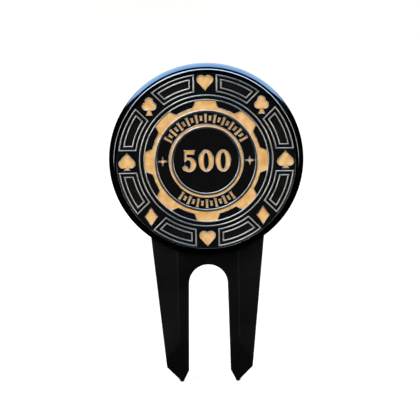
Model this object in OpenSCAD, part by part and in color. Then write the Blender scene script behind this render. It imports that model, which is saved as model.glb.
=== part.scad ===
// Divot repair tool: a two-pronged turf fork whose round head holds a lift-off ball marker.
// The tool stands on its points: +Z up, the marker's face towards -Y, the points at z = 0,
// and the origin midway between the points, in the middle of the prongs' thickness.

/* [Overall] */
// Height of the tool from its points to the top of its head
tool_h = 70.8; // [60:0.1:90]
// Diameter of the ball marker
marker_d = 40.2; // [33:0.1:48.5]
// Thickness of the ball marker, over its raised lines
marker_t = 3; // [2.4:0.1:3.6]

/* [Head] */
// Gap between the marker's edge and the wall of its seat
seat_gap = 0.15; // [0.1:0.05:0.3]
// Thickness of the wall round the seat
seat_wall = 0.75; // [0.6:0.05:1.5]
// Depth of the seat
seat_depth = 1.8; // [1:0.1:2.4]
// Radius rounding the front edge of the seat wall
lip_round = 0.5; // [0.2:0.05:0.55]
// Radius rounding the back edge of the head
back_round = 2.4; // [0.4:0.1:2.6]

/* [Magnet] */
// Diameter of the magnet
magnet_d = 16; // [10:0.5:20]
// Thickness of the magnet
magnet_t = 1.2; // [0.8:0.1:1.6]
// Gap round the magnet in its pocket
magnet_gap = 0.1; // [0.05:0.05:0.3]
// Thickness of the glue under the magnet
glue_t = 0.1; // [0.05:0.05:0.2]
// Metal left behind the magnet
back_wall = 0.7; // [0.5:0.1:1.5]

/* [Fork] */
// Thickness of the prongs at their ridges
prong_t = 2.6; // [2:0.1:3.2]
// Width of the fork where it leaves the head
shoulder_w = 24.6; // [20:0.1:30]
// Width of the fork where its points begin
foot_w = 18.7; // [16:0.1:22.5]
// Thickness of the outer edge at the shoulder
flank_t = 1.4; // [1:0.1:1.8]
// Distance from the fork's centre line to each ridge
ridge_x = 6.5; // [5.5:0.1:7.5]
// Width of the slot between the prongs, below its arch
slot_w = 8.4; // [7:0.1:10]
// Extra width of the slot at the points
slot_flare = 0.7; // [0:0.1:1.2]
// Metal between the slot's arch and the head's lower edge
neck_h = 2.4; // [1:0.1:4]
// Distance from the fork's centre line to each point
point_x = 6.1; // [5.5:0.1:7]
// Height of a point on its outer side
point_outer_h = 3.4; // [3:0.1:6]
// Height of a point on its inner side
point_inner_h = 2.6; // [2:0.1:4]
// Radius of a point's end
point_r = 0.55; // [0.3:0.05:0.7]
// Thickness of a point's end
point_t = 1.2; // [0.8:0.1:1.8]
// Length over which a prong thins towards its point
thin_h = 9; // [6:0.5:12]

/* [Marker relief] */
// Height of the raised lines above the floors that the enamel fills
relief_h = 0.35; // [0.25:0.05:0.5]
// How far the enamel stays below the raised lines
enamel_drop = 0.12; // [0.05:0.01:0.15]
// Gap between an enamel fill and the metal round it
fill_gap = 0.02; // [0.01:0.01:0.04]
// Radius rounding the marker's front edge
marker_round = 0.3; // [0.1:0.05:0.5]
// Depth of the hollow in the marker's back
back_hollow = 0.2; // [0.1:0.05:0.4]
// Width of the raised rim round the marker's back
back_rim_w = 2; // [1:0.1:4]

/* [Marker artwork] */
// Marker diameter that the artwork's sizes are given for: they grow and shrink with marker_d
art_d = 40.2; // [33:0.1:48.5]
// Width of a raised line
line_w = 0.3; // [0.2:0.02:0.36]
// Width of the thin walls round the gold fills
wall_w = 0.14; // [0.1:0.01:0.18]
// Width of the marker's rim
rim_w = 0.8; // [0.5:0.1:1]
// Radius of a panel's outer arc
panel_outer_r = 18.9; // [18.7:0.05:19]
// Radius of a panel's inner arc
panel_inner_r = 15.3; // [15.1:0.05:15.6]
// Distance from a suit's axis to the panel beside it
panel_side = 2.5; // [2.4:0.05:2.8]
// Step from a panel's outer frame to its inner frame
panel_step = 0.9; // [0.7:0.05:1.1]
// Radius of the ring line inside the panels
band_ring_r = 14.35; // [14.2:0.05:14.5]
// Radius of the ring line over the gear teeth
tooth_ring_r = 13.4; // [13.2:0.05:13.6]
// Radius of the gear ring between its teeth
gear_root_r = 11.8; // [11.6:0.05:12]
// Width of a gear tooth at its root
tooth_root_w = 5.2; // [4.8:0.1:5.6]
// Width of a gear tooth at its tip
tooth_tip_w = 4.1; // [3.6:0.1:4.6]
// Outer radius of the metal ring inside the gear ring
legend_outer_r = 11.15; // [11:0.05:11.3]
// Inner radius of the metal ring inside the gear ring
legend_inner_r = 10.6; // [10.5:0.05:10.8]
// Outer radius of the thin gold ring
thin_outer_r = 8; // [7.9:0.05:8.05]
// Inner radius of the thin gold ring
thin_inner_r = 7.6; // [7.5:0.05:7.7]
// Radius of the middle field
middle_r = 7.05; // [6.9:0.05:7.2]
// Radius at which the suits stand
suit_r = 17.1; // [17:0.05:17.2]
// Radius at which the stars and the ticks stand
legend_r = 9.38; // [9.3:0.02:9.46]
// Length of a long tick
tick_long = 1.6; // [1.2:0.1:1.7]
// Length of a short tick
tick_short = 0.8; // [0.5:0.1:1]
// Width of a tick
tick_w = 0.36; // [0.3:0.02:0.44]
// Angle from one tick to the next
tick_pitch = 6; // [6:1:10]
// Ticks on each side of the middle tick in the upper row
upper_ticks = 10; // [4:1:11]
// Ticks on each side of the middle tick in the lower row
lower_ticks = 6; // [3:1:11]
// Number of suits, panels and gear teeth
sectors = 8; // [8]
// Height of the numeral
numeral_h = 4.6; // [4:0.1:5]
// Distance from one digit's middle to the next
digit_step = 3.65; // [3.6:0.05:3.8]

/* [Hidden] */
$fn = 96;

marker_r = marker_d / 2;
seat_r = marker_r + seat_gap;
head_r = seat_r + seat_wall;
head_z = tool_h - head_r;
head_t = seat_depth + magnet_t + glue_t + back_wall;
seat_floor = head_t - seat_depth;
pocket_floor = back_wall;
shoulder_z = head_z - sqrt(head_r * head_r - shoulder_w * shoulder_w / 4);
arch_r = slot_w / 2;
arch_z = head_z - head_r - neck_h - arch_r;
flank_slope = (prong_t - flank_t) / (shoulder_w / 2 - ridge_x);
over = 1;            // how far a cut runs past the metal
bite = 0.05;         // how far a raised line is rooted in the coin
tuck = 0.005;        // how far a straight side ends inside the lobe it runs up to
art = marker_d / art_d;
half = line_w / 2;
sector = 360 / sectors;
floor_t = marker_t - relief_h;
enamel_t = relief_h - enamel_drop;
tooth_tip_r = tooth_ring_r - half;
gold = "#E2AE5C";
black_metal = "#15150F";
black_enamel = "#0B0B09";

// ---------- places ----------

// Stands a shape drawn flat, its back at z = 0 and its face up, with its face towards -Y
module stand() {
    translate([0, prong_t / 2, 0]) rotate([90, 0, 0]) children();
}

// Puts a shape drawn round the marker's centre, its back at z = 0, on the seat's floor
module on_seat() {
    stand() translate([0, head_z, seat_floor]) children();
}

// Pours a flat outline, drawn in artwork sizes, as an enamel fill on the marker's floors
module pour() {
    on_seat() translate([0, 0, floor_t]) linear_extrude(enamel_t) scale(art) children();
}

// Repeats a shape drawn at the top of a circle round that circle, every other sector from first
module at_sectors(first, last) {
    for (i = [first : last]) rotate(-i * sector) children();
}

// Puts an upright shape on the suits' circle, a number of sectors clockwise from the top
module suit_at(i) {
    translate(suit_r * [sin(i * sector), cos(i * sector)]) children();
}

module ring(outer, inner) {
    difference() {
        circle(outer);
        circle(inner);
    }
}

// ---------- the fork ----------

module prong_side(side) {
    foot_x = foot_w / 2;
    inner_x = (slot_w + slot_flare) / 2;
    scale([side, 1]) {
        polygon([
            [0, head_z], [shoulder_w / 2, head_z], [shoulder_w / 2, shoulder_z],
            [foot_x, point_outer_h], [point_x + point_r, point_r],
            [point_x - point_r, point_r], [inner_x, point_inner_h],
            [arch_r, arch_z], [0, arch_z]
        ]);
        translate([point_x, point_r]) circle(point_r);
    }
}

module fork_outline() {
    difference() {
        union() {
            prong_side(1);
            prong_side(-1);
        }
        translate([0, arch_z]) circle(arch_r);
    }
}

// Slopes the outer side of a prong away from its ridge
module flank_cut(side) {
    far = shoulder_w;
    translate([0, tool_h, 0]) rotate([90, 0, 0]) linear_extrude(tool_h + over)
        scale([side, 1]) polygon([
            [ridge_x, prong_t], [far, prong_t - flank_slope * (far - ridge_x)],
            [far, prong_t + over], [ridge_x, prong_t + over]
        ]);
}

// Thins the prongs' front towards their points
module point_cut() {
    slope = (prong_t - point_t) / thin_h;
    translate([-shoulder_w, 0, 0]) rotate([90, 0, 90]) linear_extrude(2 * shoulder_w)
        polygon([
            [-over, point_t - slope * over], [thin_h, prong_t],
            [thin_h, prong_t + over], [-over, prong_t + over]
        ]);
}

// Takes the square corner off a profile's outer edge: up is 1 for its front and -1 for its back
module corner_round(x, y, r, up) {
    translate([x - r, y - up * r]) difference() {
        translate([0, up > 0 ? 0 : -r - over]) square(r + over);
        circle(r);
    }
}

module head_disc() {
    rotate_extrude() difference() {
        square([head_r, head_t]);
        corner_round(head_r, head_t, lip_round, 1);
        corner_round(head_r, 0, back_round, -1);
    }
}

module fork_body() {
    color("#1A1A18") stand() difference() {
        union() {
            difference() {
                linear_extrude(prong_t) fork_outline();
                flank_cut(1);
                flank_cut(-1);
                point_cut();
            }
            translate([0, head_z, 0]) head_disc();
        }
        translate([0, head_z, seat_floor]) cylinder(r = seat_r, h = head_t + prong_t);
        translate([0, head_z, pocket_floor]) cylinder(d = magnet_d + 2 * magnet_gap, h = head_t);
    }
}

// ---------- the magnet ----------

module magnet_glue() {
    color("#C9C2A8") stand() translate([0, head_z, pocket_floor]) cylinder(d = magnet_d, h = glue_t);
}

module head_magnet() {
    color("silver") stand() translate([0, head_z, pocket_floor + glue_t])
        cylinder(d = magnet_d, h = magnet_t);
}

// ---------- outlines of the artwork: each grows by g all round ----------

// Side of a triangle from its tip, tangent to a round lobe, as the angle from the vertical
function tip_angle(c, r) = atan2(c[0], c[1]) + asin(r / norm(c));

// Two lobes over a tip: width over the lobes, lobe radius, and height from the tip to their centres
module lobes(w, r, h, g) {
    c = [w / 2 - r, h];
    a = tip_angle(c, r);
    edge = c + (r + g - tuck) * [cos(a), -sin(a)];
    tip = [0, -g / sin(a)];
    for (side = [-1, 1]) scale([side, 1]) {
        translate(c) circle(r + g);
        polygon([tip, edge, c, [0, h]]);
    }
}

// Foot under a club or a spade: its half-width is narrow at the top and wide at the bottom
module foot(top, bottom, narrow, wide, g) {
    middle = (top + bottom) / 2;
    polygon([
        [narrow + g, top], [-narrow - g, top], [-narrow - g, middle],
        [-wide - g, bottom - g], [wide + g, bottom - g], [narrow + g, middle]
    ]);
}

module heart(g) {
    translate([0, -1.55]) lobes(3.3, 0.9, 2.2, g);
}

module spade(g) {
    translate([0, 1.85]) scale([1, -1]) lobes(3.4, 0.87, 2.25, g);
    foot(-0.4, -1.75, 0.14, 0.62, g);
}

module club(g) {
    for (c = [[0, 1.08], [-0.68, 0.02], [0.68, 0.02]]) translate(c) circle(0.78 + g);
    foot(0.5, -1.85, 0.15, 0.62, g);
}

// A polygon whose sides all lie at one distance from its centre grows by scaling
module grown(points, g) {
    a = points[0];
    b = points[1];
    reach = abs(a[0] * b[1] - a[1] * b[0]) / norm(b - a);
    scale(1 + g / reach) polygon(points);
}

module diamond(g) {
    grown([[1.3, 0], [0, 1.85], [-1.3, 0], [0, -1.85]], g);
}

module star(g) {
    long = 0.85;
    waist = 0.26;
    points = [for (i = [0 : 7]) (i % 2 == 0 ? long : waist) * [cos(i * 45), sin(i * 45)]];
    intersection() {
        grown(points, g);
        circle(long + g);
    }
}

module tick(length, g) {
    square([tick_w + 2 * g, length + 2 * g], center = true);
}

// Ticks from one side of the top to the other, every other one long
module tick_row(count, g) {
    for (i = [-count : count]) rotate(-i * tick_pitch) translate([0, legend_r])
        tick(i % 2 == 0 ? tick_long : tick_short, g);
}

module ticks(g) {
    tick_row(upper_ticks, g);
    rotate(180) tick_row(lower_ticks, g);
}

module stars(g) {
    for (side = [-1, 1]) translate([side * legend_r, 0]) star(g);
}

module oval(w, h) {
    scale([w / h, 1]) circle(d = h);
}

module digit_zero(g) {
    difference() {
        oval(3.1 + 2 * g, numeral_h + 2 * g);
        oval(1.3 - 2 * g, numeral_h - 0.7 - 2 * g);
    }
}

module digit_five(g) {
    top = numeral_h / 2;
    bowl_y = -0.8;
    bowl_h = 2 * (top + bowl_y);
    // flag, slanting at its end, and stem
    polygon([
        [1.2 + g, top + g], [-1 - g, top + g], [-1 - g, 0.1 - g],
        [-0.7 + g, 0.1 - g], [-0.7 + g, top - 0.8 - g], [0.95 + g, top - 0.8 - g]
    ]);
    // bowl, thin where it leaves the stem, thick on its right and open on its left
    difference() {
        translate([-0.05, bowl_y]) oval(2.84 + 2 * g, bowl_h + 2 * g);
        translate([-0.32, bowl_y]) oval(1.5 - 2 * g, bowl_h - 0.7 - 2 * g);
        translate([-3, bowl_y - 0.65 + g]) square([2.15 - g, bowl_h]);
    }
    // ball at the end of the bowl
    translate([-0.88, -top + 0.7]) circle(0.46 + g);
}

module numeral(g) {
    translate([-digit_step, 0]) digit_five(g);
    digit_zero(g);
    translate([digit_step, 0]) digit_zero(g);
}

module hearts(g) { for (i = [0, 4]) suit_at(i) heart(g); }
module clubs(g) { for (i = [1, 7]) suit_at(i) club(g); }
module spades(g) { for (i = [2, 6]) suit_at(i) spade(g); }
module diamonds(g) { for (i = [3, 5]) suit_at(i) diamond(g); }

module suits(g) {
    hearts(g);
    clubs(g);
    spades(g);
    diamonds(g);
}

// Space between two suits' axes that stays side away from both, and between two radii
module panel(outer, inner, side) {
    reach = 2 * outer;
    lean = sector / 2;
    intersection() {
        ring(outer, inner);
        translate([0, side / sin(lean)]) polygon([
            [0, 0], reach * [sin(lean), cos(lean)], reach * [-sin(lean), cos(lean)]
        ]);
    }
}

module panel_frame(inset) {
    difference() {
        panel(panel_outer_r - inset + half, panel_inner_r + inset - half, panel_side + inset - half);
        panel(panel_outer_r - inset - half, panel_inner_r + inset + half, panel_side + inset + half);
    }
}

// The gear ring with its teeth, out to radius tip_r and in to radius in_r
module gear(in_r, tip_r, g) {
    run = tooth_tip_r - gear_root_r;
    lean = (tooth_root_w - tooth_tip_w) / 2 / run;
    widen = g * sqrt(1 + lean * lean);
    difference() {
        intersection() {
            circle(tip_r);
            union() {
                circle(gear_root_r + g);
                at_sectors(1, sectors) polygon([
                    [-tooth_root_w / 2 - widen - lean, gear_root_r - 1],
                    [tooth_root_w / 2 + widen + lean, gear_root_r - 1],
                    [tooth_tip_w / 2 + widen - lean, tooth_tip_r + 1],
                    [-tooth_tip_w / 2 - widen + lean, tooth_tip_r + 1]
                ]);
            }
        }
        circle(in_r);
    }
}

// ---------- the marker ----------

module raised_lines() {
    ring(band_ring_r + half, band_ring_r - half);
    ring(tooth_ring_r + half, tooth_ring_r - half);
    ring(legend_outer_r, legend_inner_r);
    ring(thin_outer_r + wall_w, thin_outer_r);
    ring(thin_inner_r, middle_r);
    for (i = [1 : sectors]) rotate((i - 0.5) * sector) {
        panel_frame(0);
        panel_frame(panel_step);
    }
    difference() {
        gear(legend_inner_r, tooth_ring_r, wall_w);
        gear(legend_outer_r, tooth_tip_r, 0);
    }
    difference() {
        union() {
            suits(wall_w);
            stars(wall_w);
            ticks(wall_w);
            numeral(wall_w);
        }
        suits(0);
        stars(0);
        ticks(0);
        numeral(0);
    }
}

// Round blank: a raised rim in front, a round-edged hollow behind
module blank() {
    rotate_extrude() difference() {
        square([marker_r, marker_t]);
        corner_round(marker_r, marker_t, marker_round, 1);
        corner_round(marker_r, 0, marker_round, -1);
        translate([-over, floor_t]) square([marker_r - art * rim_w + over, marker_t]);
        translate([-over, -over]) square([marker_r - back_rim_w + over, back_hollow + over]);
    }
}

module marker_coin() {
    color(black_metal) on_seat() {
        blank();
        translate([0, 0, floor_t - bite]) linear_extrude(relief_h + bite) scale(art) raised_lines();
    }
}

// ---------- enamel fills ----------

module gear_gold() {
    color(gold) pour() gear(legend_outer_r + fill_gap, tooth_tip_r - fill_gap, -fill_gap);
}

module thin_ring_gold() {
    color(gold) pour() ring(thin_outer_r - fill_gap, thin_inner_r + fill_gap);
}

module heart_gold() { color(gold) pour() hearts(-fill_gap); }

module club_gold() { color(gold) pour() clubs(-fill_gap); }

module spade_gold() { color(gold) pour() spades(-fill_gap); }

module diamond_gold() { color(gold) pour() diamonds(-fill_gap); }

module star_gold() { color(gold) pour() stars(-fill_gap); }

module tick_gold() { color(gold) pour() ticks(-fill_gap); }

module numeral_gold() { color(gold) pour() numeral(-fill_gap); }

module middle_black() {
    color(black_enamel) pour() difference() {
        circle(middle_r - fill_gap);
        numeral(wall_w + fill_gap);
    }
}

module legend_black() {
    color(black_enamel) pour() difference() {
        ring(legend_inner_r - fill_gap, thin_outer_r + wall_w + fill_gap);
        stars(wall_w + fill_gap);
        ticks(wall_w + fill_gap);
    }
}

module tooth_gap_black() {
    color(black_enamel) pour() difference() {
        circle(tooth_tip_r - fill_gap);
        gear(0, tooth_ring_r, wall_w + fill_gap);
        circle(gear_root_r);
    }
}

module channel_black() {
    color(black_enamel) pour()
        ring(band_ring_r - half - fill_gap, tooth_ring_r + half + fill_gap);
}

module suit_band_black() {
    color(black_enamel) pour() difference() {
        ring(marker_r / art - rim_w - fill_gap, band_ring_r + half + fill_gap);
        for (i = [1 : sectors]) rotate((i - 0.5) * sector) panel(
            panel_outer_r + half + fill_gap, panel_inner_r - half - fill_gap,
            panel_side - half - fill_gap
        );
        suits(wall_w + fill_gap);
    }
}

fork_body();
head_magnet();
magnet_glue();
marker_coin();
gear_gold();
thin_ring_gold();
heart_gold();
club_gold();
spade_gold();
diamond_gold();
star_gold();
tick_gold();
numeral_gold();
middle_black();
legend_black();
tooth_gap_black();
channel_black();
suit_band_black();
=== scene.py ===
"""Looks of a divot repair tool: a cast two-pronged fork whose head holds an enamelled ball marker.

Sizes are in millimetres and are drawn as seen from the front: x to the right, z up, and depth
counted forwards from the tool's flat back. Skin.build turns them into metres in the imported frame.
"""

import logging
import math
from collections import defaultdict
from collections.abc import Iterable, Sequence
from dataclasses import dataclass, field
from enum import Enum

import bpy
import numpy as np
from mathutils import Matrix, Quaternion, Vector, geometry, kdtree


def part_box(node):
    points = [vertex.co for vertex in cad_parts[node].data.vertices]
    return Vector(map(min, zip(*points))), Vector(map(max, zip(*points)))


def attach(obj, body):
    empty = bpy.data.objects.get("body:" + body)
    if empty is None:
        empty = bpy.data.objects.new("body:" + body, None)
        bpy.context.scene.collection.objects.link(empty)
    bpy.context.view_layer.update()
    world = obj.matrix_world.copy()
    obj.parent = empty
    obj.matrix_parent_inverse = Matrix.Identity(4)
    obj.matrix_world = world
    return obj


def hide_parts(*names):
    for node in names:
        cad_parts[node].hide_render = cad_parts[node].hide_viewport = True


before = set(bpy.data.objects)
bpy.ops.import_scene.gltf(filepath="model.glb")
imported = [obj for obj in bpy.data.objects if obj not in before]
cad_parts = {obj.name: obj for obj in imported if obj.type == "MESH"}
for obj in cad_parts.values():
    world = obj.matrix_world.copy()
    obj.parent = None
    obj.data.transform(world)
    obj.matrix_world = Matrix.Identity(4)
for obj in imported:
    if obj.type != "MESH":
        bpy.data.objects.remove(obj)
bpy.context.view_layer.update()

LOG = logging.getLogger("divot_tool")
MM = 0.001
BACK_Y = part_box("fork_body")[1].y / MM
AIM = Vector((0.00062, 0, 0.03826))  # metres; the camera and the lights face this point

# Reading and refining the CAD outlines, in millimetres
SAME_POINT = 0.0004  # CAD points this near are one
SAME_DEPTH = 0.001  # CAD points this near the front lie on it
SHORTEST_SIDE = 0.004  # shorter sides of an outline are dropped
SMOOTH_TURN = math.radians(18)  # an outline that turns less at a point is curved there
NEAR_POINTS = 8  # outline points that a distance is measured from
ROW_SHARE = 0.93  # a row's point is kept with this share of its distance from every side


class Body(Enum):
    """The CAD bodies that pieces move with."""

    FORK = "fork"
    MARKER = "marker"


class Slot(Enum):
    """The record's material slots; nothing here reads them, since the pieces take their finishes
    straight from the Finish constants.
    """

    COATING = "black_coating"
    MAGNET = "magnet_nickel"
    GLUE = "glue"
    MARKER = "black_nickel"
    GOLD = "gold_enamel"
    BLACK = "black_enamel"


# ---------- materials ----------


def linear(hex_colour: str) -> tuple[float, float, float, float]:
    """Turns an sRGB colour into linear light.

    Args:
        hex_colour: the colour, such as "#E2AE5C".

    Returns:
        Red, green and blue in linear light, and an alpha of 1.
    """
    shares = [int(hex_colour[i : i + 2], 16) / 255 for i in (1, 3, 5)]
    red, green, blue = [
        s / 12.92 if s <= 0.04045 else ((s + 0.055) / 1.055) ** 2.4 for s in shares
    ]
    return red, green, blue, 1.0


def add_node(
    tree: bpy.types.NodeTree, kind: str, inputs: dict | None = None, **settings: object
) -> bpy.types.Node:
    """Adds a node to a tree.

    Args:
        tree: the node tree.
        kind: the node's type name.
        inputs: what each input takes: a value, or the output socket that it is linked to.
        settings: the node's own properties.

    Returns:
        The node.
    """
    node = tree.nodes.new(kind)
    for name, value in settings.items():
        setattr(node, name, value)
    for key, value in (inputs or {}).items():
        if isinstance(value, bpy.types.NodeSocket):
            tree.links.new(value, node.inputs[key])
        else:
            node.inputs[key].default_value = value
    return node


def per_metre(size_mm: float) -> float:
    """Texture scale that repeats once in that many millimetres."""
    return 1 / (size_mm * MM)


@dataclass(frozen=True)
class Finish:
    """A real surface as a material: two shades, a roughness that varies, and a fine relief."""

    name: str
    shade: str
    light_shade: str
    roughness: float
    metallic: float = 0.0
    ior: float = 1.5
    patch_mm: float = 4.0  # size of the soft patches of the lighter shade
    roughness_swing: float = 0.04  # how far the patches carry the roughness either way
    grain_mm: float = 0.3  # size of the relief's grains
    grain_depth: float = 0.002  # depth of the relief
    grain_sharp: float = 0.5  # how much finer detail rides on the grains

    def material(self) -> bpy.types.Material:
        """Returns the material, made the first time it is asked for."""
        return bpy.data.materials.get(self.name) or self.build()

    def build(self) -> bpy.types.Material:
        """Makes the material.

        Returns:
            The new material.
        """
        material = bpy.data.materials.new(self.name)
        material.use_nodes = True
        tree = material.node_tree
        tree.nodes.clear()
        place = add_node(tree, "ShaderNodeTexCoord").outputs["Object"]
        patches = add_node(
            tree,
            "ShaderNodeTexNoise",
            {"Vector": place, "Scale": per_metre(self.patch_mm), "Detail": 4.0},
        ).outputs["Fac"]
        grains = add_node(
            tree,
            "ShaderNodeTexNoise",
            {
                "Vector": place,
                "Scale": per_metre(self.grain_mm),
                "Detail": 3.0,
                "Roughness": self.grain_sharp,
            },
        ).outputs["Fac"]
        colour = self.colour(tree, patches, grains)
        rough = add_node(
            tree,
            "ShaderNodeMapRange",
            {
                "Value": patches,
                "From Min": 0.3,
                "From Max": 0.7,
                "To Min": self.roughness - self.roughness_swing,
                "To Max": self.roughness + self.roughness_swing,
            },
        ).outputs["Result"]
        relief = add_node(
            tree,
            "ShaderNodeBump",
            {"Height": grains, "Strength": 1.0, "Distance": self.grain_depth * MM},
        ).outputs["Normal"]
        shader = add_node(
            tree,
            "ShaderNodeBsdfPrincipled",
            {
                "Base Color": colour,
                "Roughness": rough,
                "Metallic": self.metallic,
                "IOR": self.ior,
                "Normal": relief,
            },
        )
        self.finish_shader(shader)
        add_node(tree, "ShaderNodeOutputMaterial", {"Surface": shader.outputs["BSDF"]})
        return material

    def colour(
        self,
        tree: bpy.types.NodeTree,
        patches: bpy.types.NodeSocket,
        grains: bpy.types.NodeSocket,
    ) -> bpy.types.NodeSocket:
        """Mixes the two shades.

        Args:
            tree: the material's nodes.
            patches: the soft patches, from 0 to 1.
            grains: the relief's grains, from 0 to 1.

        Returns:
            The socket that gives the colour.
        """
        share = add_node(
            tree,
            "ShaderNodeMapRange",
            {"Value": patches, "From Min": 0.35, "From Max": 0.65},
        ).outputs["Result"]
        return add_node(
            tree,
            "ShaderNodeMix",
            {"Factor": share, "A": linear(self.shade), "B": linear(self.light_shade)},
            data_type="RGBA",
        ).outputs["Result"]

    def finish_shader(self, shader: bpy.types.Node) -> None:
        """Sets what only this finish has on its shader."""


@dataclass(frozen=True)
class PearlEnamel(Finish):
    """Enamel with pearl powder stirred in, which settles in fine light specks."""

    speck_share: float = 0.35

    def colour(
        self,
        tree: bpy.types.NodeTree,
        patches: bpy.types.NodeSocket,
        grains: bpy.types.NodeSocket,
    ) -> bpy.types.NodeSocket:
        """Mixes the two shades by the patches and, more weakly, by the grains.

        Args:
            tree: the material's nodes.
            patches: the soft patches, from 0 to 1.
            grains: the specks, from 0 to 1.

        Returns:
            The socket that gives the colour.
        """
        mixed = add_node(
            tree,
            "ShaderNodeMix",
            {"Factor": self.speck_share, "A": patches, "B": grains},
            data_type="FLOAT",
        ).outputs["Result"]
        return super().colour(tree, mixed, grains)


@dataclass(frozen=True)
class Epoxy(Finish):
    """Set epoxy: a clear amber resin that light goes some way into."""

    def finish_shader(self, shader: bpy.types.Node) -> None:
        """Lets light scatter in the resin."""
        shader.inputs["Subsurface Weight"].default_value = 0.4
        shader.inputs["Subsurface Radius"].default_value = (0.6, 0.35, 0.12)
        shader.inputs["Subsurface Scale"].default_value = 0.4 * MM


@dataclass(frozen=True)
class Opal(Finish):
    """Milky acrylic that glows evenly with the light from below."""

    glow: float = 0.6

    def finish_shader(self, shader: bpy.types.Node) -> None:
        """Sets the glow."""
        shader.inputs["Emission Color"].default_value = linear(self.shade)
        shader.inputs["Emission Strength"].default_value = self.glow


# Black nickel plate on a zinc die casting, left satin by tumbling: a soft near-black sheen.
SATIN_PLATE = Finish(
    "satin_black_nickel_plate", "#090908", "#0E0E0D", 0.34, metallic=0.3, patch_mm=9,
    grain_mm=0.45, grain_depth=0.003,
)
# The same plate buffed along the head's edge: a dark mirror. Its blue cast is a painted reflection
# of a blue sky, not a tint of the metal.
BUFFED_PLATE_PAINTED_SKY_BLUE = Finish(
    "buffed_black_nickel_painted_sky_blue", "#333F4A", "#36424D", 0.1, metallic=1, patch_mm=9,
    roughness_swing=0.02, grain_mm=0.45, grain_depth=0.002,
)
# Black nickel plate over struck lines, coloured bright silver: a painted highlight that stands in
# for the light their rounded tops catch.
STRUCK_NICKEL_PAINTED_HIGHLIGHT = Finish(
    "struck_nickel_painted_highlight", "#C8C5C0", "#D4D1CC", 0.32, metallic=1, patch_mm=2.5, grain_mm=0.6,
    grain_depth=0.0008,
)
# The same plate polished round the marker's rim: black, with a sharp light line where it turns.
POLISHED_NICKEL = Finish(
    "polished_black_nickel", "#646567", "#696A6C", 0.15, metallic=1, patch_mm=4,
    roughness_swing=0.02, grain_mm=0.6, grain_depth=0.001,
)
# The same plate over a floor blasted with grit: dull, brownish and sparkling in places.
BLASTED_NICKEL = Finish(
    "blasted_black_nickel", "#100E0B", "#1E1A15", 0.46, metallic=0.6, patch_mm=0.5,
    roughness_swing=0.08, grain_mm=0.16, grain_depth=0.03, grain_sharp=0.7,
)
# Glossy black enamel, cured in its cells: a wet-looking black with faint waves.
BLACK_ENAMEL = Finish(
    "black_enamel", "#040403", "#070706", 0.1, patch_mm=3, roughness_swing=0.03, grain_mm=1.1,
    grain_depth=0.003,
)
# Gold enamel with pearl powder: warm and creamy, and softer in its shine than the black.
GOLD_ENAMEL = PearlEnamel(
    "gold_pearl_enamel", "#CB9244", "#E8BF86", 0.34, patch_mm=1.3, grain_mm=0.14, grain_depth=0.004
)
# Bright nickel plate on a sintered magnet: a silvery satin from tumbling.
MAGNET_NICKEL = Finish(
    "magnet_bright_nickel", "#B9B7B0", "#CBC9C2", 0.24, metallic=1, patch_mm=2.5, grain_mm=0.2,
    grain_depth=0.002,
)
# Set epoxy round the magnet: a clear amber bead.
AMBER_EPOXY = Epoxy(
    "amber_epoxy", "#B79A5C", "#CDB67C", 0.18, ior=1.55, patch_mm=1, grain_depth=0.001
)
# Opal acrylic for the table, lit from below: an even white with no shadow to speak of.
OPAL_ACRYLIC = Opal(
    "opal_acrylic", "#F4F4F2", "#F7F7F5", 0.6, patch_mm=60, grain_mm=1, grain_depth=0.01
)


# ---------- flat outlines ----------


def turned(radius: float, angles: np.ndarray, centre_z: float = 0.0) -> np.ndarray:
    """Points round a circle, in the order of the angles."""
    return np.c_[radius * np.cos(angles), centre_z + radius * np.sin(angles)]


def even_angles(count: int) -> np.ndarray:
    """Angles that go once round, anticlockwise."""
    return np.arange(count) * 2 * math.pi / count


def front_outlines(node: str) -> list[np.ndarray]:
    """Reads the outlines of a CAD node's front-most flat faces.

    Args:
        node: the CAD node's name.

    Returns:
        Closed loops of flat points in millimetres, with the metal or enamel on their left.
    """
    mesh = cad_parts[node].data
    places = np.array([v.co for v in mesh.vertices]) / MM
    front = places[:, 1].min()
    keys = [tuple(k) for k in np.round(places[:, (0, 2)] / SAME_POINT).astype(int).tolist()]
    where = {key: place for key, place in zip(keys, places[:, (0, 2)])}
    follows: dict[tuple, list] = defaultdict(list)
    edges = set()
    for face in mesh.polygons:
        if all(abs(places[v, 1] - front) < SAME_DEPTH for v in face.vertices):
            ring = [keys[v] for v in face.vertices]
            edges |= {e for e in zip(ring, ring[1:] + ring[:1]) if e[0] != e[1]}
    for start, end in edges:
        if (end, start) not in edges:
            follows[start].append(end)
    loops = []
    while follows:
        at = min(follows)
        loop = []
        while at in follows:
            loop.append(where[at])
            ends = follows[at]
            nxt = ends.pop()
            if not ends:
                del follows[at]
            at = nxt
        loops.append(np.array(loop))
    return loops


def refined(loop: np.ndarray, step: float) -> np.ndarray:
    """Spaces a loop's points more closely, following its curves.

    Args:
        loop: a closed loop of flat points.
        step: the longest side that is left as it is.

    Returns:
        The loop with points added on its long sides, and points that nearly coincide dropped.
    """
    loop = loop[np.linalg.norm(loop - np.roll(loop, 1, 0), axis=1) > SHORTEST_SIDE]
    run = np.roll(loop, -1, 0) - loop
    length = np.linalg.norm(run, axis=1)
    along = run / length[:, None]
    before = np.roll(along, 1, 0)
    smooth = (before * along).sum(1) > math.cos(SMOOTH_TURN)
    middle = before + along
    middle /= np.linalg.norm(middle, axis=1)[:, None]
    points = []
    for i, start in enumerate(loop):
        j = (i + 1) % len(loop)
        leave = middle[i] if smooth[i] else along[i]
        arrive = middle[j] if smooth[j] else along[i]
        for k in range(parts := max(1, math.ceil(length[i] / step))):
            t = k / parts
            points.append(
                (1 + 2 * t) * (1 - t) ** 2 * start
                + t * (1 - t) ** 2 * length[i] * leave
                + t * t * (3 - 2 * t) * loop[j]
                + t * t * (t - 1) * length[i] * arrive
            )
    return np.array(points)


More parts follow.
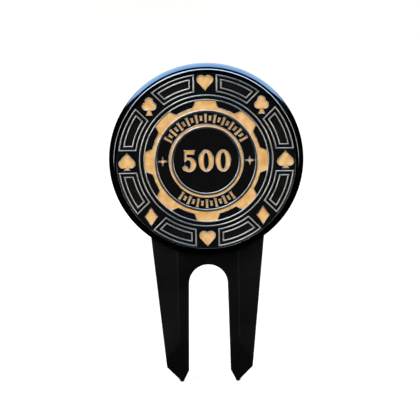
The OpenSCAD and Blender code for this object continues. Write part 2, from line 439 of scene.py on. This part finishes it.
def clearance(points: np.ndarray, loops: Sequence[np.ndarray]) -> np.ndarray:
    """Measures how far flat points lie from the sides of loops.

    Args:
        points: the flat points.
        loops: closed loops with closely spaced points.

    Returns:
        The distance from each point to the nearest side.
    """
    corners = np.vstack(loops)
    ahead = np.vstack([np.roll(loop, -1, 0) for loop in loops])
    behind = np.vstack([np.roll(loop, 1, 0) for loop in loops])
    tree = kdtree.KDTree(len(corners))
    for i, (x, z) in enumerate(corners.tolist()):
        tree.insert((x, z, 0), i)
    tree.balance()
    near = np.array(
        [[hit[1] for hit in tree.find_n((x, z, 0), NEAR_POINTS)] for x, z in points.tolist()]
    )
    best = np.full(len(points), np.inf)
    for start, end in ((corners[near], ahead[near]), (behind[near], corners[near])):
        run = end - start
        share = ((points[:, None] - start) * run).sum(-1) / np.maximum((run**2).sum(-1), 1e-12)
        nearest = start + np.clip(share, 0, 1)[..., None] * run
        best = np.minimum(best, np.linalg.norm(nearest - points[:, None], axis=-1).min(1))
    return best


def within(points: np.ndarray, loops: Sequence[np.ndarray]) -> np.ndarray:
    """Whether an odd number of loops goes round each flat point."""
    x, z = points.T
    odd = np.zeros(len(points), bool)
    for loop in loops:
        for (x0, z0), (x1, z1) in zip(loop, np.roll(loop, -1, 0)):
            if z0 != z1:
                odd ^= ((z0 > z) != (z1 > z)) & (x < x0 + (z - z0) * (x1 - x0) / (z1 - z0))
    return odd


def inset_points(
    loops: Sequence[np.ndarray], insets: Sequence[float]
) -> tuple[np.ndarray, np.ndarray]:
    """Points inside outlines, in rows that follow their sides.

    Args:
        loops: closed loops, with the inside on their left.
        insets: distances from the sides, one for each row.

    Returns:
        The flat points that the shape has room for, and how far each is from the nearest side.
    """
    rows = []
    for loop in loops:
        along = np.roll(loop, -1, 0) - loop
        along /= np.linalg.norm(along, axis=1)[:, None]
        side = np.c_[-along[:, 1], along[:, 0]]
        mitre = side + np.roll(side, 1, 0)
        mitre /= np.maximum((mitre**2).sum(1), 0.8)[:, None] / 2  # no long spikes at sharp corners
        rows += [np.c_[loop + inset * mitre, np.full(len(loop), inset)] for inset in insets]
    found = np.vstack(rows)
    room = clearance(found[:, :2], loops)
    kept = (room > ROW_SHARE * found[:, 2]) & within(found[:, :2], loops)
    return found[kept, :2], room[kept]


def net(
    loops: Sequence[np.ndarray], inner: np.ndarray
) -> tuple[np.ndarray, np.ndarray, np.ndarray]:
    """Joins outlines and the points between them into triangles.

    Args:
        loops: closed loops that don't cross.
        inner: more flat points.

    Returns:
        All the points, the loops' first; the triangles, anticlockwise; and for each triangle
        whether an odd number of loops goes round it.
    """
    points = np.vstack([*loops, inner])
    starts = np.cumsum([0] + [len(loop) for loop in loops])
    sides = [
        (start + i, start + (i + 1) % len(loop))
        for start, loop in zip(starts.tolist(), loops)
        for i in range(len(loop))
    ]
    _, edges, faces, origin, edge_origin, _ = geometry.delaunay_2d_cdt(
        [Vector(p) for p in points.tolist()], sides, [], 0, 1e-7
    )
    fixed = {frozenset(e) for e, ids in zip(edges, edge_origin) if ids}
    beside: dict[frozenset, list[int]] = defaultdict(list)
    for number, face in enumerate(faces):
        for pair in zip(face, face[1:] + face[:1]):
            beside[frozenset(pair)].append(number)
    odd: dict[int, bool] = {}
    for pair, (first, *rest) in beside.items():
        if not rest:
            odd[first] = pair in fixed
    stack = list(odd)
    while stack:
        number = stack.pop()
        face = faces[number]
        for pair in map(frozenset, zip(face, face[1:] + face[:1])):
            for other in beside[pair]:
                if other not in odd:
                    odd[other] = odd[number] != (pair in fixed)
                    stack.append(other)
    first_id = [ids[0] for ids in origin]
    triangles = np.array([[first_id[v] for v in face] for face in faces])
    a, b, c = (points[triangles[:, i]] for i in range(3))
    turn = (b[:, 0] - a[:, 0]) * (c[:, 1] - a[:, 1]) - (b[:, 1] - a[:, 1]) * (c[:, 0] - a[:, 0])
    triangles[turn < 0] = triangles[turn < 0][:, ::-1]
    return points, triangles, np.array([odd[i] for i in range(len(faces))])


def rounding(distance: np.ndarray | float, radius: float) -> np.ndarray | float:
    """How far a rounded edge drops at a distance in from its side."""
    gap = np.clip(radius - np.asarray(distance, float), 0, radius)
    return radius - np.sqrt(radius**2 - gap**2)


def soft_min(a: np.ndarray, b: np.ndarray | float, blend: float) -> np.ndarray:
    """The lower of two heights, rounded where they cross."""
    near = np.clip(blend - np.abs(a - b), 0, None) / blend
    return np.minimum(a, b) - near**2 * blend / 4


# ---------- meshes ----------


@dataclass
class Skin:
    """A mesh as it is built, from places of x, z and depth in millimetres."""

    places: list[tuple[float, float, float]] = field(default_factory=list)
    faces: list[tuple[int, ...]] = field(default_factory=list)
    coats: list[int] = field(default_factory=list)
    crisp_over: float = 36.0  # edges that turn by more degrees than this aren't smoothed over

    def points(self, flat: np.ndarray, depth: np.ndarray | float) -> np.ndarray:
        """Adds points.

        Args:
            flat: their x and z.
            depth: their depths, or the one that all have.

        Returns:
            Their numbers.
        """
        first = len(self.places)
        depths = np.broadcast_to(depth, len(flat))
        self.places += [tuple(p) for p in np.c_[flat, depths].tolist()]
        return np.arange(first, len(self.places))

    def face(self, corners: Iterable[int], coat: int = 0) -> None:
        """Adds a face, unless too few different corners are left."""
        ring = [int(c) for c in corners]
        ring = [c for i, c in enumerate(ring) if c != ring[i - 1]]
        if len(ring) > 2:
            self.faces.append(tuple(ring))
            self.coats.append(coat)

    def band(self, first: np.ndarray, second: np.ndarray, coat: int = 0) -> None:
        """Joins two closed rows of points, the first nearer the back or the outside."""
        for i in range(len(first)):
            j = (i + 1) % len(first)
            self.face((first[i], first[j], second[j], second[i]), coat)

    def lathe(
        self,
        profile: Sequence[tuple[float, float]],
        angles: np.ndarray,
        centre_z: float,
        coat: int = 0,
        first: np.ndarray | None = None,
    ) -> np.ndarray:
        """Turns a profile round the head's axis.

        Args:
            profile: radii and depths, from the back's middle or the outside to the front's middle.
            angles: where round the circle the points go.
            centre_z: the height of the axis.
            coat: which of the piece's finishes it has.
            first: a row of points that is there already, before the profile's first.

        Returns:
            The numbers of the last row's points.
        """
        row = first
        for radius, depth in profile:
            if radius == 0:
                middle = self.points(np.array([[0.0, centre_z]]), depth)
                new = np.repeat(middle, len(angles))
            else:
                new = self.points(turned(radius, angles, centre_z), depth)
            if row is not None:
                self.band(row, new, coat)
            row = new
        return row

    def build(self, name: str) -> bpy.types.Object:
        """Makes the object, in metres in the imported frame.

        Args:
            name: the piece's name.

        Returns:
            The new object.
        """
        used = sorted({v for f in self.faces for v in f})
        number = {v: i for i, v in enumerate(used)}
        mesh = bpy.data.meshes.new(name)
        places = [self.places[v] for v in used]
        mesh.from_pydata(
            [(x * MM, (BACK_Y - depth) * MM, z * MM) for x, z, depth in places],
            [],
            [tuple(number[v] for v in f) for f in self.faces],
        )
        mesh.polygons.foreach_set("material_index", self.coats)
        mesh.shade_smooth()
        mesh.set_sharp_from_angle(angle=math.radians(self.crisp_over))
        mesh.validate()
        piece = bpy.data.objects.new(name, mesh)
        bpy.context.scene.collection.objects.link(piece)
        return piece


def round_corner(
    radius: float, depth: float, size: float, start: float, end: float, steps: int
) -> list[tuple[float, float]]:
    """Profile points round a corner's centre.

    Args:
        radius: the centre's radius on the lathe.
        depth: the centre's depth.
        size: the corner's radius.
        start: the first point's direction in degrees, 0 outwards and 90 forwards.
        end: the last point's direction.
        steps: how many parts the corner has.

    Returns:
        Radii and depths.
    """
    turns = np.radians(np.linspace(start, end, steps + 1))
    return [(radius + size * math.cos(t), depth + size * math.sin(t)) for t in turns]


def install(
    skin: Skin, name: str, node: str, body: Body, finishes: Sequence[Finish]
) -> bpy.types.Object:
    """Builds a piece, dresses it and puts it in the frame in place of its CAD node.

    Args:
        skin: its mesh.
        name: its name.
        node: the CAD node that it stands for.
        body: the CAD body that it moves with.
        finishes: its finishes, in the order of its coats.

    Returns:
        The piece.
    """
    piece = skin.build(name)
    for finish in finishes:
        piece.data.materials.append(finish.material())
    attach(piece, body.value)
    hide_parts(node)
    LOG.info("%s: %d faces, on %s", name, len(skin.faces), body.value)
    return piece


# ---------- the fork ----------


@dataclass
class Fork:
    """The casting: a round head with a seat, over a flat fork with two creased prongs."""

    centre_z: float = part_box("marker_coin")[0].z / MM / 2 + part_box("marker_coin")[1].z / MM / 2
    head_r: float = min(-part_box("fork_body")[0].x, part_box("fork_body")[1].x) / MM
    head_t: float = (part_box("fork_body")[1].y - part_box("fork_body")[0].y) / MM
    seat_r: float = 20.25
    seat_floor: float = 2.0
    pocket_r: float = 8.1
    pocket_floor: float = 0.7
    lip_round: float = 1.9
    lip_turns: tuple[float, float] = (15, 50)
    back_round: float = 2.4
    prong_t: float = 2.6
    shoulder_x: float = 12.3
    foot_x: float = 9.35
    flank_t: float = 1.4
    ridge_x: float = 6.5
    arch_r: float = 4.2
    arch_z: float = 22.2
    slot_foot_x: float = 4.55
    point_x: float = 6.1
    point_outer_h: float = 3.4
    point_inner_h: float = 2.6
    point_r: float = 0.55
    point_t: float = 1.2
    thin_h: float = 9.0
    edge_round: float = 0.35
    fillet: float = 0.5
    crease_blend: float = 0.06
    crease_h: float = 0.05
    crease_w: float = 0.1
    crease_end: tuple[float, float] = (5.0, 9.0)  # heights where its bead starts and is full
    on_edge: float = 0.01  # points this little outside the head's circle are on it
    no_head: float = 99.0  # depth that leaves the head out of a blend
    side_slope: float = 5.0  # how steeply the fork's sides run out into the head's back
    back_blend: float = 0.3
    seat_edge: float = 0.08
    step: float = 0.4  # the longest side of a refined outline
    gap: float = 0.02  # room between the head's circle and the points beside it
    arc_points: int = 220
    under_points: int = 61
    edge_rows: tuple[float, ...] = (0.02, 0.07, 0.14, 0.23, 0.35)
    fillet_rows: tuple[float, ...] = (0.03, 0.1, 0.2, 0.34, 0.5)
    crease_rows: tuple[float, ...] = (-0.3, -0.2, -0.12, -0.06, 0.0, 0.06, 0.12, 0.2, 0.3)
    ramp_rows: tuple[float, ...] = (0.05, 0.12, 0.25, 0.45)
    pillow_rows: tuple[float, ...] = (0.03, 0.12, 0.28, 0.5, 0.8, 1.2, 1.7, 2.4)

    def plate_sides(self, top_z: float) -> np.ndarray:
        """Outline of the fork, open at its top.

        Args:
            top_z: the height where its sides start and end.

        Returns:
            Flat points from the left side's top, round both points, to the right side's top.
        """
        tip = np.array([self.point_x, self.point_r])
        around = np.radians(np.linspace(180, 360, 15))
        half = [
            *turned(self.arch_r, np.radians(np.linspace(90, 0, 30)), self.arch_z).tolist(),
            [self.slot_foot_x, self.point_inner_h],
            *(tip + turned(self.point_r, around)).tolist(),
            [self.foot_x, self.point_outer_h],
            [self.shoulder_x, self.shoulder_z],
            [self.shoulder_x, top_z],
        ]
        right = np.array(half)
        return np.vstack([right[:0:-1] * (-1, 1), right])

    @property
    def shoulder_z(self) -> float:
        """Height at which the fork's sides run into the head."""
        return self.centre_z - math.sqrt(self.head_r**2 - self.shoulder_x**2)

    @property
    def free_arc(self) -> np.ndarray:
        """Directions from the head's centre to the points of its free edge, right to left."""
        lean = math.atan2(self.shoulder_z - self.centre_z, self.shoulder_x)
        return np.linspace(lean, math.pi - lean, self.arc_points)

    def plate_front(self, flat: np.ndarray, inside: np.ndarray) -> np.ndarray:
        """Depth of the fork's front.

        Args:
            flat: flat points on the fork.
            inside: how far each is in from the fork's sides.

        Returns:
            The depth at each point, with the beaded crease, the thinned points and the rounded
            edges.
        """
        x, z = np.abs(flat[:, 0]), flat[:, 1]
        slope = (self.prong_t - self.flank_t) / (self.shoulder_x - self.ridge_x)
        flank = self.prong_t - slope * (x - self.ridge_x)
        thin = self.point_t + (self.prong_t - self.point_t) / self.thin_h * z
        top = soft_min(flank, np.full(len(x), self.prong_t), self.crease_blend)
        top = soft_min(top, thin, self.crease_blend)
        low, high = self.crease_end
        fade = np.clip((z - low) / (high - low), 0, 1)
        top += self.crease_h * fade * np.exp(-(((x - self.ridge_x) / self.crease_w) ** 2))
        return top - rounding(inside, self.edge_round) + rounding(self.above(flat), self.fillet)

    def back(self, flat: np.ndarray, inside: np.ndarray) -> np.ndarray:
        """Depth of the casting's back.

        Args:
            flat: flat points on the casting.
            inside: how far each is in from the fork's sides, below 0 outside them.

        Returns:
            The depth at each point: flat, with a pillowed head and the fork's rounded edges.
        """
        above = self.above(flat)
        head = np.where(above > self.on_edge, self.no_head, rounding(-above, self.back_round))
        fork = rounding(inside, self.edge_round) + self.side_slope * np.clip(-inside, 0, None)
        return np.clip(soft_min(head, fork, self.back_blend), 0, None)

    def full_sides(self) -> np.ndarray:
        """Outline of the fork, run on up to the head's middle."""
        return refined(self.plate_sides(self.centre_z), self.step)

    def inside(self, flat: np.ndarray) -> np.ndarray:
        """How far flat points are in from the fork's sides, below 0 outside them."""
        sides = [self.full_sides()]
        room = clearance(flat, sides)
        return np.where(within(flat, sides), room, -room)

    def above(self, flat: np.ndarray) -> np.ndarray:
        """How far flat points are outside the head's circle, below 0 inside it."""
        return np.hypot(flat[:, 0], flat[:, 1] - self.centre_z) - self.head_r

    def front_points(self) -> np.ndarray:
        """Points between the fork's sides: along its edges, fillet, creases and thinned points."""
        sides, _ = inset_points([self.full_sides()], self.edge_rows)
        arcs = [
            turned(self.head_r + row, np.radians(np.linspace(230, 310, 81)), self.centre_z)
            for row in self.fillet_rows
        ]
        columns = [
            [side * (self.ridge_x + row), z]
            for row in self.crease_rows
            for side in (-1, 1)
            for z in np.arange(0.5, self.shoulder_z, 0.6)
        ]
        fine = [
            [side * x, z] for z in np.arange(0.4, self.thin_h + 1, 0.3)
            for x in np.arange(4.6, 10, 0.3) for side in (-1, 1)
        ]
        extra = np.vstack([*arcs, columns, fine])
        low = (extra[:, 1] < self.shoulder_z + 6) & (np.abs(extra[:, 0]) < self.shoulder_x)
        extra = extra[low]
        points = np.vstack([sides, extra[self.inside(extra) > self.edge_round + 0.04]])
        return points[self.above(points) > self.gap]

    def back_points(self) -> np.ndarray:
        """Points inside the casting's outline, along the fork's edges and round the head."""
        sides, _ = inset_points([self.full_sides()], self.edge_rows)
        sides = sides[sides[:, 1] < self.centre_z - self.head_r * 0.6]
        ramp = [
            [side * (self.shoulder_x + row), z]
            for row in self.ramp_rows
            for side in (-1, 1)
            for z in np.arange(self.shoulder_z - 0.4, self.shoulder_z + 4, 0.22)
        ]
        ramp = np.array(ramp)
        rings = np.vstack(
            [turned(self.head_r - row, self.free_arc, self.centre_z) for row in self.pillow_rows]
        )
        clear = self.ramp_rows[-1] + 0.05
        beside = np.abs(rings[:, 0]) > self.shoulder_x + clear
        rings = rings[beside | (rings[:, 1] > self.centre_z)]
        return np.vstack([sides, ramp[self.above(ramp) < -self.gap], rings])

    def build(self) -> bpy.types.Object:
        """Builds the casting and puts it in the frame.

        Returns:
            The piece.
        """
        skin = Skin()
        over = self.free_arc
        under = np.linspace(over[-1], 2 * math.pi + over[0], self.under_points)[1:-1]
        angles = np.r_[over, under]
        circle = turned(self.head_r, angles, self.centre_z)
        left = len(over) - 1
        chord = math.ceil(2 * self.shoulder_x / self.step) - 1
        sides = refined(self.plate_sides(self.shoulder_z)[1:-1], self.step)[:-chord]

        # the fork's front, up to the head's wall
        plate = np.vstack([sides, circle[: left : -1]])
        flat, triangles, inside = net([plate], self.front_points())
        room = self.inside(flat)
        room[: len(sides)] = 0
        low = skin.points(flat, self.plate_front(flat, room))
        for triangle in triangles[inside]:
            skin.face(low[triangle])

        # the back, over fork and head
        outline = np.vstack([circle[: left + 1], sides[1:-1]])
        flat, triangles, inside = net([outline], self.back_points())
        room = self.inside(flat)
        room[left : len(outline)] = 0
        room[0] = 0
        back = skin.points(flat, self.back(flat, room))
        for triangle in triangles[inside]:
            skin.face(back[triangle[::-1]])

        # the head: its outer wall's top edge, the lip, the seat and the magnet's pocket
        low_turn, high_turn = map(math.radians, self.lip_turns)
        lip = round_corner(
            self.head_r - self.lip_round * math.cos(low_turn),
            self.head_t - self.lip_round * math.sin(high_turn),
            self.lip_round, *self.lip_turns, 8,
        )
        high = skin.points(turned(self.head_r, angles, self.centre_z), lip[0][1])
        edge = self.seat_edge
        front = skin.lathe(lip[1:], angles, self.centre_z, 1, high)
        skin.lathe(
            [
                *round_corner(self.seat_r + edge, self.head_t - edge, edge, 90, 180, 3),
                (self.seat_r, self.seat_floor),
                *round_corner(self.pocket_r + edge, self.seat_floor - edge, edge, 90, 180, 2),
                (self.pocket_r, self.pocket_floor),
                (0, self.pocket_floor),
            ],
            angles, self.centre_z, first=front,
        )

        # the walls: round the head, round the fork, and where the head stands over the fork
        front_low = np.r_[low[len(sides) - 1], np.full(left - 1, -1), low[: len(sides) - 1]]
        for i in range(len(outline)):
            j = (i + 1) % len(outline)
            if i < left:
                ring = [back[i], back[j]]
                ring += [low[0]] if j == left else []
                ring += [high[j], high[i]]
                ring += [low[len(sides) - 1]] if i == 0 else []
                skin.face(ring, 1)
            else:
                skin.face((back[i], back[j], front_low[j], front_low[i]))
        neck = np.r_[low[0], low[len(plate) - 1 : len(sides) - 1 : -1], low[len(sides) - 1]]
        rim = np.r_[high[left:], high[0]]
        for i in range(len(neck) - 1):
            skin.face((neck[i], neck[i + 1], rim[i + 1], rim[i]), 1)
        # the head's edge and walls take the buffed plate, whose blue cast is a painted sky
        # reflection
        return install(
            skin, "fork_casting", "fork_body", Body.FORK, [SATIN_PLATE, BUFFED_PLATE_PAINTED_SKY_BLUE]
        )


# ---------- the magnet ----------


@dataclass
class Magnet:
    """The disc magnet in the head's pocket, and the bead of epoxy that holds it."""

    centre_z: float
    pocket_r: float
    floor: float
    radius: float = 8.0
    glue_t: float = 0.1
    thick: float = 1.2
    chamfer: float = 0.12
    bead_h: float = 0.45
    bead_gap: float = 0.01

    def build(self) -> list[bpy.types.Object]:
        """Builds the magnet and its glue and puts them in the frame.

        Returns:
            The pieces.
        """
        angles = even_angles(160)
        bottom, top = self.floor + self.glue_t, self.floor + self.glue_t + self.thick
        flat_r = self.radius - self.chamfer
        disc = Skin()
        disc.lathe(
            [
                (0, bottom),
                *round_corner(flat_r, bottom + self.chamfer, self.chamfer, -90, 0, 4),
                *round_corner(flat_r, top - self.chamfer, self.chamfer, 0, 90, 5),
                (self.radius * 0.6, top),
                (0, top),
            ],
            angles, self.centre_z,
        )
        bead = Skin()
        reach, inner = self.pocket_r - self.bead_gap, self.radius + self.bead_gap / 2
        bead.lathe(
            [
                (0, self.floor), (reach, self.floor), (reach, self.floor + self.bead_h),
                ((reach + self.radius) / 2, self.floor + self.bead_h * 0.8),
                (inner, self.floor + self.bead_h * 0.86), (inner, bottom + self.chamfer),
                (flat_r, bottom), (0, bottom),
            ],
            angles, self.centre_z,
        )
        return [
            install(disc, "seat_magnet", "head_magnet", Body.FORK, [MAGNET_NICKEL]),
            install(bead, "magnet_epoxy", "magnet_glue", Body.FORK, [AMBER_EPOXY]),
        ]


# ---------- the marker ----------


@dataclass
class Marker:
    """The ball marker: a struck disc with raised lines, and enamel in the cells between them."""

    centre_z: float
    seat_floor: float
    radius: float = 20.1
    thick: float = 3.0
    relief: float = 0.35
    rim_w: float = 0.8
    round_r: float = 0.34
    inner_round: float = 0.07
    line_round: float = 0.14
    line_rows: tuple[float, ...] = (0.01, 0.04, 0.085, 0.14)
    back_rim_w: float = 2.0
    back_hollow: float = 0.2
    step: float = 0.24
    rim_points: int = 288
    enamel_dip: float = 0.05
    meniscus: float = 0.09
    enamel_rows: tuple[float, ...] = (0.04, 0.1, 0.2, 0.4)
    gold_cells: tuple[str, ...] = (
        "gear", "thin_ring", "heart", "club", "spade", "diamond", "star", "tick", "numeral",
    )
    black_cells: tuple[str, ...] = ("middle", "legend", "tooth_gap", "channel", "suit_band")

    @property
    def floor(self) -> float:
        """Depth of the floors between the raised lines."""
        return self.seat_floor + self.thick - self.relief

    def raised_loops(self) -> list[np.ndarray]:
        """Outlines of the raised lines, without the rim's."""
        rim = self.radius - self.rim_w - 0.05
        found = front_outlines("marker_coin")
        return [
            refined(loop, self.step)
            for loop in found
            if np.hypot(loop[:, 0], loop[:, 1] - self.centre_z).max() < rim
        ]

    def build_disc(self) -> bpy.types.Object:
        """Builds the struck disc.

        Returns:
            The piece.
        """
        skin = Skin(crisp_over=62)
        angles = even_angles(self.rim_points)
        inner_r = self.radius - self.rim_w
        top = self.seat_floor + self.thick
        loops = self.raised_loops()
        rows, room = inset_points(loops, self.line_rows)
        edge = turned(inner_r, angles, self.centre_z)
        flat, triangles, odd = net([edge, *loops], rows)
        border = len(flat) - len(rows)
        heights = np.r_[
            np.full(border, top - self.line_round), top - rounding(room, self.line_round)
        ]
        floor = skin.points(flat[:border], self.floor)
        raised = skin.points(flat, heights)
        for triangle, on_floor in zip(triangles, odd):
            skin.face((floor if on_floor else raised)[triangle], int(on_floor))
        start = len(edge)
        for loop in loops:
            ids = np.arange(start, start + len(loop))
            skin.band(floor[ids], raised[ids])
            start += len(loop)
        back, hollow = self.seat_floor, self.seat_floor + self.back_hollow
        outer, small = self.radius - self.round_r, self.inner_round
        well = self.radius - self.back_rim_w
        last = skin.lathe(
            [(0, hollow), (well * 0.5, hollow), (well, hollow)], angles, self.centre_z, 1
        )
        last = skin.lathe(
            [
                *round_corner(well + small, back + small, small, 180, 270, 3),
                *round_corner(outer, back + self.round_r, self.round_r, -90, 0, 6),
                *round_corner(outer, top - self.round_r, self.round_r, 0, 90, 8),
                *round_corner(inner_r + small, top - small, small, 90, 180, 4),
            ],
            angles, self.centre_z, 2, last,
        )
        skin.band(last, floor[: len(edge)], 2)
        # the raised lines take the silver colour, a painted highlight; the floors take the blasted
        # nickel and the rim takes the polished nickel
        return install(
            skin, "marker_disc", "marker_coin", Body.MARKER,
            [STRUCK_NICKEL_PAINTED_HIGHLIGHT, BLASTED_NICKEL, POLISHED_NICKEL],
        )

    def build_enamel(
        self, name: str, colour: str, finish: Finish
    ) -> bpy.types.Object:
        """Builds the enamel of one kind of cell, with a surface that climbs at the metal.

        Args:
            name: the cells' name, which its CAD node starts with.
            colour: the enamel's colour, which its CAD node ends with.
            finish: the enamel.

        Returns:
            The piece.
        """
        node = f"{name}_{colour}"
        skin = Skin()
        loops = [refined(loop, self.step) for loop in front_outlines(node)]
        rows, room = inset_points(loops, self.enamel_rows)
        flat, triangles, odd = net(loops, rows)
        border = len(flat) - len(rows)
        brim = BACK_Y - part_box(node)[0].y / MM
        room = np.r_[np.zeros(border), room]
        top = skin.points(flat, brim - self.enamel_dip * (1 - np.exp(-room / self.meniscus)))
        for triangle in triangles[odd]:
            skin.face(top[triangle])
        _, triangles, odd = net(loops, np.empty((0, 2)))
        bottom = skin.points(flat[:border], self.floor)
        for triangle in triangles[odd]:
            skin.face(bottom[triangle[::-1]])
        start = 0
        for loop in loops:
            ids = np.arange(start, start + len(loop))
            skin.band(bottom[ids], top[ids])
            start += len(loop)
        return install(skin, f"{name}_enamel", node, Body.MARKER, [finish])

    def build(self) -> list[bpy.types.Object]:
        """Builds the disc and every enamel.

        Returns:
            The pieces.
        """
        pieces = [self.build_disc()]
        for name in self.gold_cells:
            pieces.append(self.build_enamel(name, "gold", GOLD_ENAMEL))
        for name in self.black_cells:
            pieces.append(self.build_enamel(name, "black", BLACK_ENAMEL))
        return pieces


# ---------- the studio ----------


@dataclass(frozen=True)
class Softbox:
    """A soft rectangular light."""

    name: str
    place: tuple[float, float, float]  # metres
    width: float
    height: float
    power: float  # watts
    tint: str = "#FFFFFF"
    lights_table: bool = True

    def build(self, target: Vector, table: bpy.types.Object) -> None:
        """Makes the light.

        Args:
            target: the point that it faces.
            table: the table, which is kept out of its light if lights_table is off.
        """
        light = bpy.data.lights.new(self.name, "AREA")
        light.shape = "RECTANGLE"
        light.size, light.size_y = self.width, self.height
        light.energy = self.power
        light.color = linear(self.tint)[:3]
        lamp = bpy.data.objects.new(self.name, light)
        lamp.location = self.place
        lamp.rotation_euler = (target - lamp.location).to_track_quat("-Z", "Y").to_euler()
        lamp.visible_camera = False
        bpy.context.scene.collection.objects.link(lamp)
        if not self.lights_table:
            shaded = bpy.data.collections.new(f"{self.name}_leaves_out")
            shaded.objects.link(table)
            shaded.collection_objects[0].light_linking.link_state = "EXCLUDE"
            lamp.light_linking.receiver_collection = shaded


@dataclass
class Studio:
    """Table, surroundings, lights and camera."""

    target: Vector
    distance: float = 1.0  # metres
    elevation: float = 11.5  # degrees
    roll: float = 1.02  # degrees, clockwise
    lens: float = 395.4
    clip: tuple[float, float] = (0.01, 50)
    table_half: float = 30.0
    lights: tuple[Softbox, ...] = (
        Softbox("key", (-0.30, -0.52, 0.62), 0.36, 0.26, 2.6),
        Softbox("top", (0.0, 0.27, 0.80), 2.4, 1.1, 84.0, "#C6E0FF", lights_table=False),
        Softbox("behind", (0.0, 0.95, 0.36), 1.2, 0.4, 4.0, "#D8E4F0", lights_table=False),
        Softbox("left", (-0.58, -0.33, 0.16), 0.2, 0.5, 2.8),
        Softbox("right", (0.58, -0.33, 0.16), 0.2, 0.5, 2.4),
    )
    surround: float = 0.45

    def build_table(self) -> bpy.types.Object:
        """Lays the pale table.

        Returns:
            The table.
        """
        half = self.table_half
        mesh = bpy.data.meshes.new("table")
        corners = [(-half, -half, 0), (half, -half, 0), (half, half, 0), (-half, half, 0)]
        mesh.from_pydata(corners, [], [(0, 1, 2, 3)])
        mesh.materials.append(OPAL_ACRYLIC.material())
        table = bpy.data.objects.new("table", mesh)
        bpy.context.scene.collection.objects.link(table)
        table.visible_glossy = False  # the gloss sees black round the lights, as between flags
        table.visible_diffuse = False  # and the pale table throws no light up at the face
        return table

    def build_world(self) -> None:
        """Makes the white surroundings, weaker as a light, which gloss doesn't mirror."""
        world = bpy.data.worlds.new("surroundings")
        world.use_nodes = True
        tree = world.node_tree
        tree.nodes.clear()
        seen = add_node(tree, "ShaderNodeLightPath").outputs["Is Camera Ray"]
        strength = add_node(
            tree, "ShaderNodeMapRange", {"Value": seen, "To Min": self.surround, "To Max": 1.0}
        ).outputs["Result"]
        light = add_node(
            tree, "ShaderNodeBackground", {"Color": linear("#FFFFFF"), "Strength": strength}
        )
        add_node(tree, "ShaderNodeOutputWorld", {"Surface": light.outputs[0]})
        world.cycles_visibility.glossy = False
        bpy.context.scene.world = world

    def build_camera(self) -> None:
        """Sets the camera up, a little above the tool's middle."""
        lift = math.radians(self.elevation)
        away = Vector((0, -math.cos(lift), math.sin(lift)))
        lens = bpy.data.cameras.new("camera")
        lens.lens = self.lens
        lens.clip_start, lens.clip_end = self.clip
        camera = bpy.data.objects.new("camera", lens)
        camera.location = self.target + away * self.distance
        look = (-away).to_track_quat("-Z", "Y")
        camera.rotation_mode = "QUATERNION"
        camera.rotation_quaternion = look @ Quaternion((0, 0, 1), math.radians(-self.roll))
        bpy.context.scene.collection.objects.link(camera)
        bpy.context.scene.camera = camera

    def build(self) -> None:
        """Builds everything round the tool."""
        table = self.build_table()
        self.build_world()
        for light in self.lights:
            light.build(self.target, table)
        self.build_camera()
        bpy.context.scene.view_settings.view_transform = "Standard"


def main() -> None:
    """Builds the tool and its studio in order, and reports each piece."""
    logging.basicConfig(level=logging.INFO, format="%(message)s")
    fork = Fork()
    magnet = Magnet(fork.centre_z, fork.pocket_r, fork.pocket_floor)
    marker = Marker(fork.centre_z, fork.seat_floor)
    pieces = [fork.build(), *magnet.build(), *marker.build()]
    Studio(AIM).build()
    LOG.info("%d pieces", len(pieces))
    bpy.context.view_layer.update()


if __name__ == "__main__":
    main()
